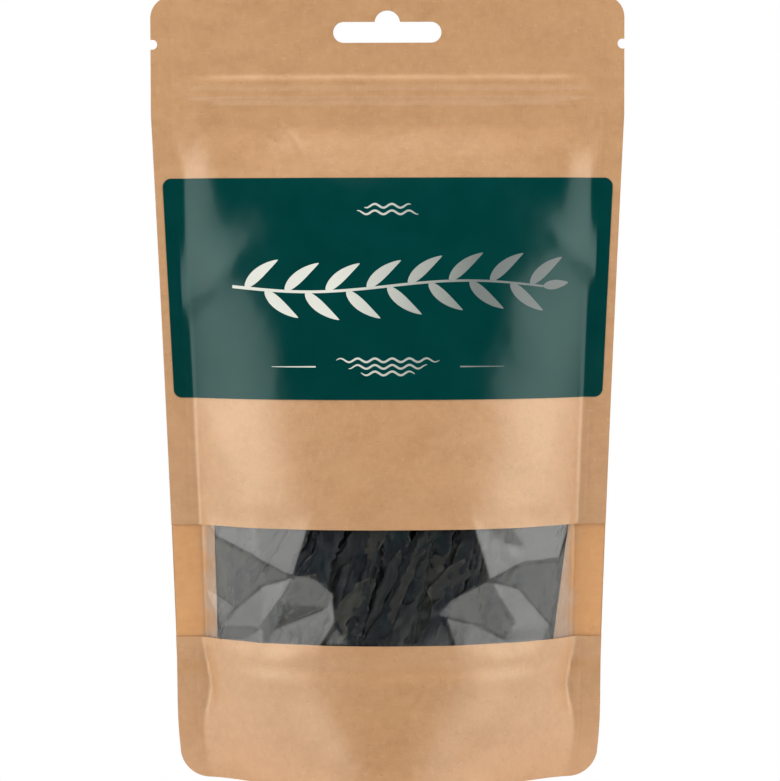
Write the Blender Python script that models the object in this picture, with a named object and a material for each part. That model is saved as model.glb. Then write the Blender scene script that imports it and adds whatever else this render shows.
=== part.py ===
"""A stand-up kraft pouch with a clear band across its front, filled with dried winged kelp.

The pouch stands on the rim of its bottom gusset at z = 0 and faces -Y.
Each web of the pouch is one sheet, laid out on the paper's own width s, from -WIDTH / 2 to WIDTH / 2.
"""

import math
import random

import bmesh
import bpy
import numpy as np

MM = 0.001

# The pouch laid flat
WIDTH = 140 * MM
HEIGHT = 232 * MM
SIDE_SEAL = 6 * MM
TOP_CORNER = 6.5 * MM
BOTTOM_CORNER = 9 * MM
WINDOW_LOW = 42 * MM
WINDOW_HIGH = 75.6 * MM

# How far the filled pouch bulges: half its depth at each height
FILL_TOP = 197 * MM
HALF_DEPTH = 24.5 * MM
BULGE_POWER = 1.2
BULGE_ROOT = 0.5
FLAT_MIDDLE = 0.5
SKIRT_TOP = 35 * MM
SKIRT_FLARE = 0.2
SKIRT_POWER = 1.6

# Sheets, heavier than the real laminate so that they hold as solids
PLY_GAP = 0.15 * MM
FILM = 0.2 * MM
KRAFT = 0.35 * MM
BACK_WEB = 0.4 * MM
GUSSET = 0.3 * MM
LABEL = 0.2 * MM
LABEL_GAP = 0.1 * MM

# Bottom gusset
RIM = 5 * MM
FOLD = 30 * MM
GUSSET_ROOM = 0.9 * MM
GUSSET_GAP = 0.3 * MM
GUSSET_CROWN = 1.5 * MM
GUSSET_BEND = 3 * MM

# Press-to-close zip, inside a raised band below the header
ZIP_LOW = 201.8 * MM
ZIP_HIGH = 207.4 * MM
ZIP_ROOM = 1.05 * MM
ZIP_END = 59 * MM
ZIP_PLATE = 0.3 * MM

# Die-cut hang slot and tear notches
SLOT_HEIGHT_ABOVE = 221.3 * MM
SLOT_WIDTH = 32 * MM
SLOT_RADIUS = 3.1 * MM
SLOT_BUMP = 3.75 * MM
SLOT_BUMP_RISE = 2.7 * MM
NOTCH_RADIUS = 1.5 * MM
NOTCH_DEPTH = 2 * MM
NOTCH_ABOVE = 217.8 * MM

# Front label
LABEL_LOW = 113.4 * MM
LABEL_HIGH = 178.3 * MM
LABEL_WIDTH = 135 * MM
LABEL_CORNER = 2.5 * MM

# Kelp fronds, crumpled lengthwise: the layers follow the front and back walls
FROND_HALF_THICKNESS = 0.45 * MM
MIDRIB_RISE = 0.3 * MM
MIDRIB_WIDTH = 0.16
FROND_SWING = 1.9 * MM
FROND_CLEAR = 0.6 * MM
FROND_LEAN = math.radians(20)
FROND_DRIFT = 13 * MM
LANE_GAP = 0.032
MARGIN_WAVE = 0.014
FULL_SWING_WIDTH = 13 * MM
FROND_SEED = 7
OUTER_LAYER = 3.6 * MM
INNER_LAYER = 9.8 * MM

SIDES = {"front": -1, "back": 1}
COLUMNS = 16
HALF_INSIDE = WIDTH / 2 - SIDE_SEAL
ROWS = np.array(
    [0, 3, 6.5, 10.5, 15, 20, 25, 30, 35, 42, 58, 75.6, 94, 112, 130, 148, 164, 178, 187]
    + [192, 197, 200.3, 201.8, 207.4, 208.9, 232]
) * MM

COLOURS = {
    "kraft": ((0.56, 0.33, 0.175), 0.6),
    "film": ((0.80, 0.82, 0.82), 0.12),
    "label": ((0.0, 0.045, 0.04), 0.3),
    "zip": ((0.78, 0.78, 0.76), 0.3),
    "kelp": ((0.025, 0.028, 0.024), 0.5),
}


def ease(start, end, value):
    """0 before start, 1 after end, smooth between."""
    t = np.clip((np.asarray(value, float) - start) / (end - start), 0, 1)
    return t * t * (3 - 2 * t)


def bulge(z):
    """Half the depth of the filled pouch at its middle, at height z."""
    fill = np.clip(1 - (np.clip(z, 0, FILL_TOP) / FILL_TOP) ** BULGE_POWER, 0, 1)
    return HALF_DEPTH * fill**BULGE_ROOT * (1 + SKIRT_FLARE * (1 - ease(0, SKIRT_TOP, z)))


def section_shape(q, z):
    """How the bulge falls off from the middle, q = 0, to the side seal, q = 1."""
    q = np.clip(np.abs(q), 0, 1)
    body = 1 - FLAT_MIDDLE * q**2 - (1 - FLAT_MIDDLE) * q**4
    skirt = (1 - q**2) ** SKIRT_POWER
    share = ease(0, SKIRT_TOP, z)
    return body * share + skirt * (1 - share)


def half_chord(z):
    """Half the straight distance between the side seals, once the sheet has bulged."""
    q = np.linspace(0, 1, 161)
    depth = bulge(z) * section_shape(q, z)
    low, high = 0.5 * HALF_INSIDE, HALF_INSIDE
    for _ in range(40):
        chord = (low + high) / 2
        length = np.hypot(np.diff(q * chord), np.diff(depth)).sum()
        low, high = (chord, high) if length < HALF_INSIDE else (low, chord)
    return chord


def across(s, z):
    """Where the point s of the sheet's width lies along X, at height z."""
    chord = half_chord(z)
    q = np.linspace(0, 1, 161)
    depth = bulge(z) * section_shape(q, z)
    along = np.concatenate([[0], np.cumsum(np.hypot(np.diff(q * chord), np.diff(depth)))])
    inside = np.interp(np.abs(s), along, q * chord)
    return np.sign(s) * (inside + np.maximum(np.abs(s) - HALF_INSIDE, 0))


def packing(s, z):
    """Half the room that the gusset's plies and the zip take between the webs."""
    plies = (GUSSET_ROOM - PLY_GAP) * (1 - ease(FOLD + 1 * MM, FOLD + 5 * MM, z))
    band = ease(ZIP_LOW - 1.5 * MM, ZIP_LOW, z) * (1 - ease(ZIP_HIGH, ZIP_HIGH + 1.5 * MM, z))
    ends = 1 - ease(ZIP_END, HALF_INSIDE, np.abs(s))
    return PLY_GAP + plies + ZIP_ROOM * band * ends


def inner_depth(s, z):
    """Distance from the middle plane to a web's inner face."""
    q = across(s, z) / half_chord(z)
    return packing(s, z) + bulge(z) * section_shape(q, z)


def outward(s, z, side):
    """Horizontal unit normals of a web at height z, pointing out of the pouch."""
    step = 0.25 * MM
    dx = across(s + step, z) - across(s - step, z)
    dy = side * (inner_depth(s + step, z) - inner_depth(s - step, z))
    length = np.hypot(dx, dy)
    return -side * dy / length, side * dx / length


def columns():
    """Places across the sheet, closer together at the shoulders, with the seals at both ends."""
    inside = HALF_INSIDE * np.sin(np.linspace(-math.pi / 2, math.pi / 2, COLUMNS + 1))
    return np.concatenate([[-WIDTH / 2], inside, [WIDTH / 2]])


def web_grid(side, offset, low=0.0, high=HEIGHT):
    """Points of a web's face, offset outwards from its inner face, between two heights."""
    s = columns()
    grid = []
    for z in ROWS[(ROWS > low - MM / 10) & (ROWS < high + MM / 10)]:
        nx, ny = outward(s, z, side)
        x = across(s, z) + nx * offset
        y = side * inner_depth(s, z) + ny * offset
        grid.append(np.stack([x, y, np.full_like(x, z)], axis=1))
    return np.array(grid)


def finish_faces(bm):
    bmesh.ops.recalc_face_normals(bm, faces=bm.faces)


def add_object(name, bm, material):
    finish_faces(bm)
    mesh = bpy.data.meshes.new(name)
    bm.to_mesh(mesh)
    bm.free()
    obj = bpy.data.objects.new(name, mesh)
    bpy.context.scene.collection.objects.link(obj)
    if material:
        mesh.materials.append(bpy.data.materials[material])
        mesh.shade_smooth()
        mesh.set_sharp_from_angle(angle=math.radians(50))
    return obj


def shell(name, first, second, material):
    """A closed sheet between two grids of points, split into triangles alike on both faces."""
    rows, cols = first.shape[:2]
    bm = bmesh.new()
    faces = [[[bm.verts.new(p) for p in row] for row in grid] for grid in (first, second)]
    for grid, turn in zip(faces, (1, -1)):
        for i in range(rows - 1):
            for j in range(cols - 1):
                a, b = grid[i][j], grid[i][j + 1]
                c, d = grid[i + 1][j + 1], grid[i + 1][j]
                for corners in ((a, b, c), (a, c, d)):
                    bm.faces.new(corners[::turn])
    edge = [(0, j) for j in range(cols)] + [(i, cols - 1) for i in range(1, rows)]
    edge += [(rows - 1, j) for j in range(cols - 2, -1, -1)] + [(i, 0) for i in range(rows - 2, 0, -1)]
    for (i, j), (k, m) in zip(edge, edge[1:] + edge[:1]):
        a, b = faces[0][i][j], faces[0][k][m]
        c, d = faces[1][k][m], faces[1][i][j]
        bm.faces.new((a, d, c))
        bm.faces.new((a, c, b))
    return add_object(name, bm, material)


def prism(bm, outline, low, high):
    """An outline in X and Z, extruded along Y."""
    ends = [[bm.verts.new((x, y, z)) for x, z in outline] for y in (low, high)]
    bm.faces.new(ends[0])
    bm.faces.new(ends[1][::-1])
    for k in range(len(outline)):
        m = (k + 1) % len(outline)
        bm.faces.new((ends[0][k], ends[1][k], ends[1][m], ends[0][m]))


def arc(cx, cz, radius, start, end, steps):
    """Points on an arc, from the angle start to the angle end, in degrees."""
    angles = np.radians(np.linspace(start, end, steps + 1))
    return [(cx + radius * math.cos(a), cz + radius * math.sin(a)) for a in angles]


def slot_outline():
    """A long hole with round ends and a round bump in the middle of its upper edge."""
    reach = SLOT_WIDTH / 2 - SLOT_RADIUS
    above = SLOT_HEIGHT_ABOVE + SLOT_BUMP_RISE
    top = SLOT_HEIGHT_ABOVE + SLOT_RADIUS
    lift = math.degrees(math.asin((top - above) / SLOT_BUMP))
    right = arc(reach, SLOT_HEIGHT_ABOVE, SLOT_RADIUS, -90, 90, 8)
    bump = arc(0, above, SLOT_BUMP, lift, 180 - lift, 8)
    left = arc(-reach, SLOT_HEIGHT_ABOVE, SLOT_RADIUS, 90, 270, 8)
    return right + bump + left


def corner_outline(x_edge, z_edge, radius, sign_x, sign_z):
    """What is cut off a sheet's corner to round it."""
    past = 4 * MM
    cx, cz = x_edge - radius, z_edge - sign_z * radius
    curve = arc(cx, cz, radius, 0, 90 * sign_z, 6)
    points = curve + [(cx, z_edge + sign_z * past), (x_edge + past, z_edge + sign_z * past)]
    points += [(x_edge + past, cz)]
    return [(sign_x * x, z) for x, z in points]


def make_punch():
    """The die that cuts the hang slot, the tear notches and the four round corners."""
    bm = bmesh.new()
    prism(bm, slot_outline(), -6 * MM, 6 * MM)
    notch_x = WIDTH / 2 + NOTCH_RADIUS - NOTCH_DEPTH
    foot_x = across(np.array([WIDTH / 2]), BOTTOM_CORNER)[0]
    for sign in (-1, 1):
        circle = arc(sign * notch_x, NOTCH_ABOVE, NOTCH_RADIUS, 0, 330, 11)
        prism(bm, circle, -6 * MM, 6 * MM)
        top = corner_outline(WIDTH / 2, HEIGHT, TOP_CORNER, sign, 1)
        foot = corner_outline(foot_x, 0, BOTTOM_CORNER, sign, -1)
        prism(bm, top, -6 * MM, 6 * MM)
        prism(bm, foot, -40 * MM, 40 * MM)
    punch = add_object("punch", bm, None)
    punch.hide_render = True
    punch.display_type = "WIRE"
    return punch


def cut(obj, cutter, operation="DIFFERENCE"):
    modifier = obj.modifiers.new(operation.lower(), "BOOLEAN")
    modifier.operation = operation
    modifier.object = cutter
    modifier.solver = "EXACT"


def make_webs(punch):
    """Front: a clear film with two kraft plies on it, which leave a band bare. Back: one kraft web."""
    front = SIDES["front"]
    kraft = FILM + PLY_GAP
    plies = {
        "front_film": (front, 0, FILM, 0, HEIGHT, "film"),
        "front_kraft_lower": (front, kraft, kraft + KRAFT, 0, WINDOW_LOW, "kraft"),
        "front_kraft_upper": (front, kraft, kraft + KRAFT, WINDOW_HIGH, HEIGHT, "kraft"),
        "back_web": (SIDES["back"], 0, BACK_WEB, 0, HEIGHT, "kraft"),
    }
    for name, (side, inner, outer, low, high, material) in plies.items():
        first = web_grid(side, inner, low, high)
        second = web_grid(side, outer, low, high)
        cut(shell(name, first, second, material), punch)


def base_height(s, z_fold=FOLD):
    """Height of the seal that joins the gusset to the front and back webs."""
    q = np.minimum(np.abs(s) / HALF_INSIDE, 1)
    return RIM + (z_fold - RIM) * q**4


def gusset_path(s):
    """One cross-section of the gusset, front rim to back rim: middle points and their offsets."""
    top = float(base_height(s))
    width = np.array([s])

    def middle(z):
        return float(inner_depth(width, z)[0]) - GUSSET_GAP - GUSSET / 2

    bend = min(GUSSET_BEND, 0.8 * middle(top))
    crown = GUSSET_CROWN * (1 - ease(0.5 * HALF_INSIDE, HALF_INSIDE, abs(s)))
    levels = list(np.linspace(0, top - bend, 4))
    x = [float(across(width, z)[0]) for z in levels] + [float(across(width, top)[0])] * 2
    y = [-middle(z) for z in levels] + [bend - middle(top), 0]
    z = levels + [top, top + float(crown)]
    tilt = [(-1, 0), (-1, 0), (-1, 0), (-1, 0.4), (-0.4, 1), (0, 1)]
    back = [4, 3, 2, 1, 0]
    x += [x[k] for k in back]
    z += [z[k] for k in back]
    y += [-y[k] for k in back]
    tilt += [(-tilt[k][0], tilt[k][1]) for k in back]
    return np.stack([x, y, z], axis=1), np.array(tilt)


def make_gusset(punch):
    sections = [gusset_path(s) for s in columns()]
    grids = []
    for sign in (0.5, -0.5):
        grid = []
        for points, tilt in sections:
            moved = points.copy()
            moved[:, 1:] += sign * GUSSET * tilt
            grid.append(moved)
        grids.append(np.array(grid))
    cut(shell("bottom_gusset", *grids, "kraft"), punch)


def make_label():
    """A sticker with round corners, laid on the upper kraft ply."""
    under = FILM + PLY_GAP + KRAFT + LABEL_GAP
    low, high = 100 * MM, 190 * MM
    front = SIDES["front"]
    sheet = shell(
        "front_label",
        web_grid(front, under, low, high),
        web_grid(front, under + LABEL, low, high),
        "label",
    )
    half = np.array([LABEL_WIDTH / 2])
    top = across(half, LABEL_HIGH)[0] - LABEL_CORNER
    foot = across(half, LABEL_LOW)[0] - LABEL_CORNER
    z_top, z_foot = LABEL_HIGH - LABEL_CORNER, LABEL_LOW + LABEL_CORNER
    outline = arc(top, z_top, LABEL_CORNER, 0, 90, 4)
    outline += arc(-top, z_top, LABEL_CORNER, 90, 180, 4)
    outline += arc(-foot, z_foot, LABEL_CORNER, 180, 270, 4)
    outline += arc(foot, z_foot, LABEL_CORNER, 270, 360, 4)
    bm = bmesh.new()
    prism(bm, outline, -40 * MM, 0)
    die = add_object("label_die", bm, None)
    die.hide_render = True
    die.display_type = "WIRE"
    cut(sheet, die, "INTERSECT")


def extrude_profile(name, profile, material):
    """A profile in Y and Z, run along X between the side seals."""
    bm = bmesh.new()
    ends = [[bm.verts.new((x, y, z)) for y, z in profile] for x in (-ZIP_END, ZIP_END)]
    bm.faces.new(ends[0])
    bm.faces.new(ends[1][::-1])
    for k in range(len(profile)):
        m = (k + 1) % len(profile)
        bm.faces.new((ends[0][k], ends[1][k], ends[1][m], ends[0][m]))
    return add_object(name, bm, material)


def make_zip():
    """The two strips of the zip, pressed shut: a rib on the back strip sits between two jaws."""
    middle = (ZIP_LOW + ZIP_HIGH) / 2
    half = (ZIP_HIGH - ZIP_LOW) / 2 - 0.2 * MM
    wall = ZIP_ROOM
    jaw_in, jaw_out, jaw_tip = 0.8 * MM, 1.25 * MM, 0.4 * MM
    rib, rib_tip = 0.35 * MM, -0.3 * MM
    plate = wall - ZIP_PLATE
    groove = [(-wall, -half), (-plate, -half), (-plate, -jaw_out), (jaw_tip, -jaw_out)]
    groove += [(jaw_tip, -jaw_in), (-plate, -jaw_in)]
    groove += [(y, -z) for y, z in groove[::-1]]
    tongue = [(wall, -half), (plate, -half), (plate, -rib), (rib_tip, -rib)]
    tongue += [(y, -z) for y, z in tongue[::-1]]
    for name, profile in (("zip_groove_strip", groove), ("zip_rib_strip", tongue)):
        extrude_profile(name, [(y, z + middle) for y, z in profile], "zip")


def reach(depth, z):
    """How far from the middle, along X, the pouch is still deeper than depth on each side."""
    q = np.linspace(0, 1, 101)
    inside = packing(0.0, z) + bulge(z) * section_shape(q, z)
    return half_chord(z) * float(np.interp(-depth, -inside, q))


def wall_depth(x, z):
    return packing(0.0, z) + bulge(z) * section_shape(x / half_chord(z), z)


def soft_limit(eta):
    """Keeps a place across a layer inside -1 to 1, without a fold."""
    start = 0.75
    over = max(abs(eta) - start, 0)
    room = 1 - start
    return math.copysign(min(abs(eta), start) + room * math.tanh(over / room), eta)


def frond_drift(z):
    """How far the packed fronds lean to the right, as a share of the pouch's inner width."""
    window = (WINDOW_LOW + WINDOW_HIGH) / 2
    return FROND_DRIFT * math.tanh((z - window) * math.tan(FROND_LEAN) / FROND_DRIFT) / HALF_INSIDE


def wavy_margins(count, dice):
    """The lines between neighbouring fronds: each waves along its height, at an uneven spacing."""
    widths = [dice.uniform(0.75, 1.25) for _ in range(count)]
    margins, place = [], -1.0
    for width in widths + [0]:
        waves = [(dice.uniform(12, 30) * MM, dice.uniform(0, 6.28)) for _ in range(2)]
        margins.append((place, waves))
        place += 2 * width / sum(widths)
    return margins


def margin_at(margin, z):
    place, waves = margin
    return place + sum(MARGIN_WAVE * math.sin(z / pitch + phase) for pitch, phase in waves)


def frond_taper(t):
    """A frond's share of its lane along its length, t from 0 to 1: drawn in at its two torn ends."""
    return 0.42 + 0.58 * (1 - abs(2 * t - 1) ** 6)


def make_frond(name, side, layer, margins, span, cells, dice):
    """One frond: a long blade with a midrib, pleated lengthwise, with waved edges."""
    low, high = span
    across_cells, along_cells = cells
    pleats = dice.uniform(1.5, 2.4)
    phase, turn = dice.uniform(0, 6.28), dice.uniform(-5, 5)
    ruffles, ruffle_phase = dice.uniform(5, 8), dice.uniform(0, 6.28)
    limit = layer + FROND_SWING + FROND_HALF_THICKNESS + MIDRIB_RISE + FROND_CLEAR
    grids = ([], [])
    for i in range(along_cells + 1):
        t = i / along_cells
        z = low + (high - low) * t
        room = reach(limit, z)
        left = margin_at(margins[0], z) + LANE_GAP
        right = margin_at(margins[1], z) - LANE_GAP
        middle = (left + right) / 2 + frond_drift(z)
        half_width = (right - left) / 2 * frond_taper(t)
        edges = [room * soft_limit(middle + half_width * v) for v in (-1, 1)]
        swing = FROND_SWING * min(1, (edges[1] - edges[0]) / FULL_SWING_WIDTH)
        rows = ([], [])
        for j in range(across_cells + 1):
            v = 2 * j / across_cells - 1
            x = room * soft_limit(middle + half_width * v)
            pleat = 0.7 * math.cos(math.pi * pleats * v + phase + turn * t)
            ruffle = 0.3 * v * v * math.sin(2 * math.pi * ruffles * t + ruffle_phase + 2 * v)
            half = FROND_HALF_THICKNESS + MIDRIB_RISE * math.exp(-((v / MIDRIB_WIDTH) ** 2))
            y = wall_depth(x, z) - layer - swing * (pleat + ruffle)
            for row, sign in zip(rows, (1, -1)):
                row.append((x, side * (y + sign * half), z))
        for grid, row in zip(grids, rows):
            grid.append(row)
    shell(name, np.array(grids[0]), np.array(grids[1]), "kelp")


def make_kelp():
    """Fronds in four layers, packed upright, leaning to one side and resting on the gusset."""
    dice = random.Random(FROND_SEED)
    layers = (
        ("front", OUTER_LAYER, 6, 172 * MM, (8, 20)),
        ("front", INNER_LAYER, 3, 122 * MM, (6, 12)),
        ("back", INNER_LAYER, 3, 122 * MM, (6, 12)),
        ("back", OUTER_LAYER, 4, 168 * MM, (6, 13)),
    )
    number = 0
    for side, layer, count, top, cells in layers:
        margins = wavy_margins(count, dice)
        for k in range(count):
            number += 1
            outermost = max(abs(margins[k][0]), abs(margins[k + 1][0]))
            foot = float(base_height(outermost * 0.85 * HALF_INSIDE)) + 3 * MM
            span = (foot + dice.uniform(0, 3) * MM, top - dice.uniform(0, 14) * MM)
            pair = (margins[k], margins[k + 1])
            make_frond(f"kelp_frond_{number:02d}", SIDES[side], layer, pair, span, cells, dice)


def make_materials():
    for name, (colour, roughness) in COLOURS.items():
        material = bpy.data.materials.new(name)
        material.use_nodes = True
        shader = material.node_tree.nodes["Principled BSDF"]
        shader.inputs["Base Color"].default_value = (*colour, 1)
        shader.inputs["Roughness"].default_value = roughness
        shader.inputs["Metallic"].default_value = 0
        if name == "film":
            shader.inputs["Alpha"].default_value = 0.3


def main():
    for obj in list(bpy.data.objects):
        bpy.data.objects.remove(obj)
    make_materials()
    punch = make_punch()
    make_webs(punch)
    make_gusset(punch)
    make_label()
    make_zip()
    make_kelp()


main()
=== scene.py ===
"""The looks of a kraft pouch of dried kelp: fine sheets, clear film, print and fronds over the plain solids.

Lengths are in metres. A web is laid out on the paper's own width s, as the solids are.
"""

import functools
import math
import random

import bmesh
import bpy
import numpy as np
from mathutils import Matrix, Vector


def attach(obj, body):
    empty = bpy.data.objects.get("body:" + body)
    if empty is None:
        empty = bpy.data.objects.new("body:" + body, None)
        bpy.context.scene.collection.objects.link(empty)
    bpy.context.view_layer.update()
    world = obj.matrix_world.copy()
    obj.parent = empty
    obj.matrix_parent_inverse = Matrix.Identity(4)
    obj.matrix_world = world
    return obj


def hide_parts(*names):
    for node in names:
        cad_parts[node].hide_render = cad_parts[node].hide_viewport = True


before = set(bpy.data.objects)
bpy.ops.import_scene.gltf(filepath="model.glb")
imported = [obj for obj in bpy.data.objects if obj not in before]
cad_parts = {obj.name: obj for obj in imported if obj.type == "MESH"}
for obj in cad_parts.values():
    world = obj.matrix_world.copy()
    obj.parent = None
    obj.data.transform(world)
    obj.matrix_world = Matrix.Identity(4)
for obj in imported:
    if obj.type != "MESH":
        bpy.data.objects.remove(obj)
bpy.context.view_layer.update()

MM = 0.001

# The pouch, as its solids have it
WIDTH = 140 * MM
HEIGHT = 232 * MM
SIDE_SEAL = 6 * MM
TOP_CORNER = 6.5 * MM
BOTTOM_CORNER = 9 * MM
WINDOW_LOW = 42 * MM
WINDOW_HIGH = 75.6 * MM
FILL_TOP = 197 * MM
HALF_DEPTH = 24.5 * MM
BULGE_POWER = 1.2
BULGE_ROOT = 0.5
FLAT_MIDDLE = 0.5
SKIRT_TOP = 35 * MM
SKIRT_FLARE = 0.2
SKIRT_POWER = 1.6
PLY_GAP = 0.15 * MM
GUSSET = 0.3 * MM
RIM = 5 * MM
FOLD = 30 * MM
GUSSET_ROOM = 0.9 * MM
GUSSET_GAP = 0.3 * MM
GUSSET_CROWN = 1.5 * MM
GUSSET_BEND = 3 * MM
ZIP_LOW = 201.8 * MM
ZIP_HIGH = 207.4 * MM
ZIP_ROOM = 0.6 * MM
ZIP_END = 48 * MM
SLOT_HEIGHT_ABOVE = 221.3 * MM
SLOT_WIDTH = 32 * MM
SLOT_RADIUS = 3.1 * MM
SLOT_BUMP = 3.75 * MM
SLOT_BUMP_RISE = 2.7 * MM
NOTCH_RADIUS = 1.5 * MM
NOTCH_DEPTH = 2 * MM
NOTCH_ABOVE = 217.8 * MM
LABEL_LOW = 113.4 * MM
LABEL_HIGH = 178.3 * MM
LABEL_WIDTH = 135 * MM
LABEL_CORNER = 2.5 * MM
HALF_INSIDE = WIDTH / 2 - SIDE_SEAL

# Kelp, as its solids have it
FROND_HALF_THICKNESS = 0.45 * MM
MIDRIB_RISE = 0.3 * MM
MIDRIB_WIDTH = 0.16
FROND_SWING = 1.9 * MM
FROND_CLEAR = 0.6 * MM
FROND_LEAN = math.radians(20)
FROND_DRIFT = 13 * MM
LANE_GAP = 0.032
MARGIN_WAVE = 0.014
FULL_SWING_WIDTH = 13 * MM
FROND_SEED = 7
OUTER_LAYER = 3.6 * MM
INNER_LAYER = 9.8 * MM

# Torn lobes of the kelp: how deep the pouch is where they end, and half the width that the fronds share, in
# millimetres
LOBE_SEED = 31
LOBE_DEPTH = 3.3 * MM
LANES_WIDTH = 54
# Lobes beside the seals and right behind the clear band: x of the middle, lowest z, length, lean, width,
# depth behind the film and how warm, in millimetres and degrees
FRONT_LOBES = (
    (-43.5, 12, 98, 0.573, 17, 1.5, 0.6), (43.5, 12, 98, 6.8428, 17, 1.5, 0.6),
    (6.5, 41, 46, 23, 3.4, 0.8, 0.6), (-3, 40, 30, 22, 4.0, 0.9, 0.3), (17.5, 52, 15, 35, 9.5, 0.7, 0.6),
    (7, 52, 10, 10, 6.0, 1.2, 0.0), (-24, 42, 21, 12, 13.0, 0.8, 0.6), (22, 44, 15, 25, 9.0, 0.8, 0.75),
    (-11, 62, 19, 25, 4.5, 1.1, 0.3), (-9, 40, 22, 18, 5.0, 1.0, 0.15), (12, 63, 18, 28, 5.5, 1.3, 0.1),
)

# Thin plies of the finer sheets: offsets outwards from a web's inner face
FILM_PLY = (0.40 * MM, 0.45 * MM)
KRAFT_PLY = (0.47 * MM, 0.63 * MM)
LABEL_PLY = (0.66 * MM, 0.80 * MM)
BACK_PLY = (0.10 * MM, 0.34 * MM)
PRINT_PLY = (0.79 * MM, 0.825 * MM)

# Kraft linings beside the seals: name, side, arc length of the inner edge at the base, and its slope
LININGS = (("lining_left", -1, 54.6 * MM, 0.0), ("lining_right", 1, 45.65 * MM, 0.15))
LINING_OUTER = 69.7 * MM
LINING_GAP = 1.0 * MM
LINING_PLY = 0.12 * MM

# Share of the light that the clear film mirrors when it is seen straight on
FILM_SHARE = 0.051

# Photograph's frame and view
PHOTO_WIDTH = 780
FOCAL_PIXELS = 2722
CAMERA_PLACE = (0.0033, -0.8086, 0.15385)
CAMERA_YAW = -0.0034
CAMERA_PITCH = 0.0476
CAMERA_ROLL = -0.0023

# Light
ROOM_LIGHT = 0.27
SOFTBOX_LIGHT = 2.6
TOP_LIGHT = 4.0
BACK_LIGHT = 1.3
GLOW_TURN = math.radians(59.5)
FLOOR_GLOW = 0.2
MAT_SHADE = 0.5

# How the filled webs leave their seals: further in than the flat seal, most of all near the base, and gently
# below the zip
SEAL_CREEP = 2.8 * MM
LOW_CREEP = 2.4 * MM
LOW_CREEP_PLACE = 27 * MM
LOW_CREEP_SPREAD = 8 * MM
SHOULDER_SLOPE = 0.45
SHOULDER_BEND = 2.2 * MM
SHOULDER_SAG = 2.0 * MM
SHOULDER_LINE = 195.6 * MM
SHOULDER_LINE_SWAY = 0.5 * MM
SHOULDER_LINE_RISE = 0.05 * MM
SHOULDER_LINE_WIDTH = 0.9 * MM

# How uneven the webs are
SOFT_WAVE = 0.16 * MM
FINE_WAVE = 0.014 * MM
HEADER_WAVE = 0.05 * MM
SEAL_GROOVE = 0.04 * MM
SEAL_GROOVE_WIDTH = 0.5 * MM
HAIR = 0.001 * MM

FRONT, BACK = -1, 1


def ease(start, end, value):
    """0 before start, 1 after end, smooth between."""
    t = np.clip((np.asarray(value, float) - start) / (end - start), 0, 1)
    return t * t * (3 - 2 * t)


# Form of the webs


def hump(away, width):
    """1 where away is 0, falling to 0 within about two widths."""
    return np.exp(-((away / width) ** 2))


def bulge(z, sag=0.0):
    """Depth of a web's bulge at its middle. With a sag, it starts that much lower below the zip."""
    z = z + sag * ease(160 * MM, 190 * MM, z)
    fill = np.clip(1 - (np.clip(z, 0, FILL_TOP) / FILL_TOP) ** BULGE_POWER, 0, 1)
    return HALF_DEPTH * fill**BULGE_ROOT * (1 + SKIRT_FLARE * (1 - ease(0, SKIRT_TOP, z)))


def section_shape(q, z):
    """Depth of the bulge at the share q of the half chord, as a share of the depth at its middle."""
    q = np.clip(np.abs(q), 0, 1)
    body = 1 - FLAT_MIDDLE * q**2 - (1 - FLAT_MIDDLE) * q**4
    skirt = (1 - q**2) ** SKIRT_POWER
    share = ease(0, SKIRT_TOP, z)
    return body * share + skirt * (1 - share)


@functools.cache
def section(z):
    """Half chord of a web at height z, and its arc length at 161 places along the chord."""
    q = np.linspace(0, 1, 161)
    depth = bulge(z) * section_shape(q, z)
    low, high = 0.5 * HALF_INSIDE, HALF_INSIDE
    for _ in range(40):
        chord = (low + high) / 2
        steps_along = np.hypot(np.diff(q * chord), np.diff(depth))
        low, high = (chord, high) if steps_along.sum() < HALF_INSIDE else (low, chord)
    return chord, q, np.concatenate([[0], np.cumsum(steps_along)])


def across(s, z):
    """Where the point s of the sheet's width lies along X, at height z."""
    chord, q, along = section(z)
    inside = np.interp(np.abs(s), along, q * chord)
    return np.sign(s) * (inside + np.maximum(np.abs(s) - HALF_INSIDE, 0))


def packing(s, z):
    """Half the room that the gusset's plies and the zip take between the webs."""
    plies = (GUSSET_ROOM - PLY_GAP) * (1 - ease(FOLD + 1 * MM, FOLD + 5 * MM, z))
    band = ease(ZIP_LOW - 2 * MM, ZIP_LOW + 1 * MM, z) * (1 - ease(ZIP_HIGH - 1 * MM, ZIP_HIGH + 2 * MM, z))
    ends = 1 - ease(ZIP_END, HALF_INSIDE, np.abs(s))
    return PLY_GAP + plies + ZIP_ROOM * band * ends


def bulge_edge(z):
    """Where the bulge of a web ends along X."""
    creep = SEAL_CREEP * (0.6 + 0.4 * ease(20 * MM, 45 * MM, z)) * (1 - ease(180 * MM, 196 * MM, z))
    creep += LOW_CREEP * hump(z - LOW_CREEP_PLACE, LOW_CREEP_SPREAD)
    return section(z)[0] - creep


def soft_bulge(z):
    """The bulge with a gentle start below the zip."""
    below = max(FILL_TOP - SHOULDER_SAG - z, HAIR)
    start = SHOULDER_SLOPE * (below - SHOULDER_BEND * (1 - math.exp(-below / SHOULDER_BEND)))
    full = max(float(bulge(z, SHOULDER_SAG)), HAIR)
    return (start**-4 + full**-4) ** -0.25


def wall_depth(x, z):
    """Distance from the middle plane to a web's inner face."""
    return packing(x, z) + soft_bulge(z) * section_shape(x / bulge_edge(z), z)


def reach(depth, z):
    """How far from the middle, along X, the pouch is still deeper than depth on each side."""
    q = np.linspace(0, 1, 101)
    inside = packing(0.0, z) + bulge(z) * section_shape(q, z)
    return section(z)[0] * float(np.interp(-depth, -inside, q))


# Relief: how the sheets stray from their smooth form, outwards


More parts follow.
